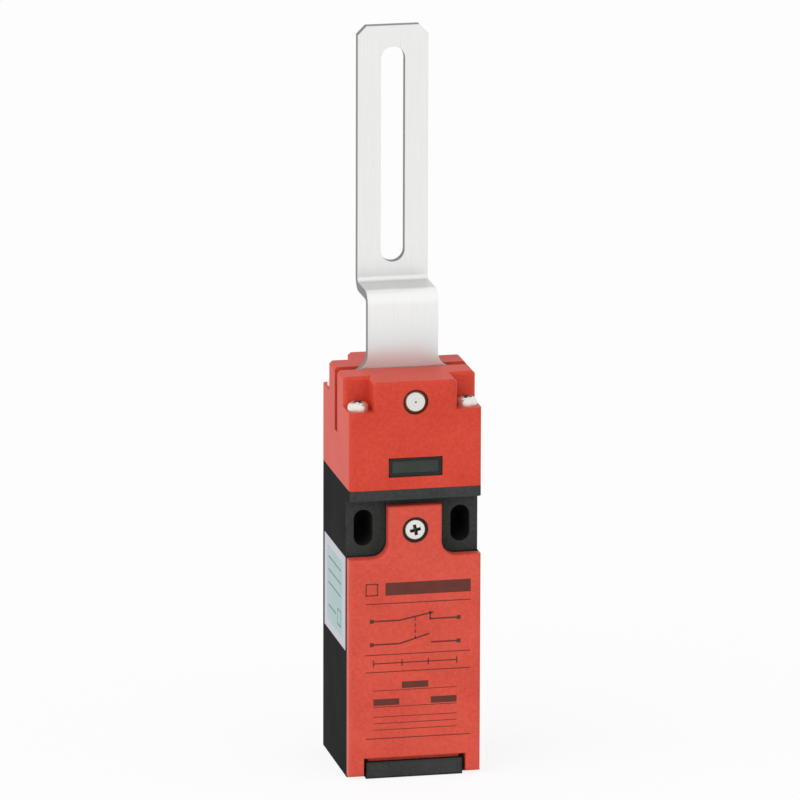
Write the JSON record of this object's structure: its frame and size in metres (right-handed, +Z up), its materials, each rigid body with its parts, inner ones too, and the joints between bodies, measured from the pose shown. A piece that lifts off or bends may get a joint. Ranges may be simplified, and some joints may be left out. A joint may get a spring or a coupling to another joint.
{
  "type": "lever safety switch",
  "caption": "Red and black safety limit switch with a swinging elbowed steel lever, upright block body and turret head.",
  "frame": {"origin": "centre of the base of the switch body", "axes": "+Z up along the body towards the lever tip, +Y towards the mounting face at the back, +X to the right seen from the front"},
  "size_m": [0.03, 0.03, 0.1665],
  "materials": {
    "red_polyamide": "satin",
    "black_polyamide": "satin",
    "grey_polyamide": "satin",
    "plated_steel": "satin",
    "lever_steel": "satin",
    "sintered_bronze": "satin",
    "nitrile_rubber": "matte",
    "white_acetal": "satin",
    "grey_melamine": "matte",
    "contact_brass": "satin",
    "silver_alloy": "satin",
    "polyester_film": "satin"
  },
  "bodies": {
    "switch": {"body_housing": "black_polyamide", "front_cover": "red_polyamide", "cover_gasket": "nitrile_rubber", "cover_screw": "plated_steel", "screw_seal": "nitrile_rubber", "side_label": "polyester_film", "head_housing": "red_polyamide", "head_gasket": "nitrile_rubber", "head_screws": "plated_steel", "window_plug": "grey_polyamide", "front_bush": "sintered_bronze", "rear_bush": "sintered_bronze", "plunger_seal": "nitrile_rubber", "contact_base": "grey_melamine", "nc_contacts": "contact_brass", "no_contacts": "contact_brass", "terminal_clamps": "plated_steel", "return_spring": "plated_steel"},
    "lever_arm": {"lever": "lever_steel", "pivot_pin": "plated_steel", "pivot_clip": "plated_steel"},
    "slider": {"plunger": "white_acetal", "follower_pin": "plated_steel", "contact_carrier": "white_acetal", "nc_bridge": "silver_alloy", "no_bridges": "silver_alloy"}
  },
  "joints": [
    {"name": "lever_swing", "type": "hinge", "parent": "switch", "child": "lever_arm", "pos_m": [0, 0, 0.0865], "axis": [0, 1, 0], "range_deg": [-90, 90]},
    {"name": "plunger_travel", "type": "slide", "parent": "switch", "child": "slider", "axis": [0, 0, 1], "range_m": [-0.002, 0.002], "stiffness_N_per_m": 200, "springref_m": 0.005, "deforming": ["return_spring"]}
  ],
  "couplings": [
    {"joint": "plunger_travel", "follows": "lever_swing", "m_per_rad": -0.0012732}
  ]
}
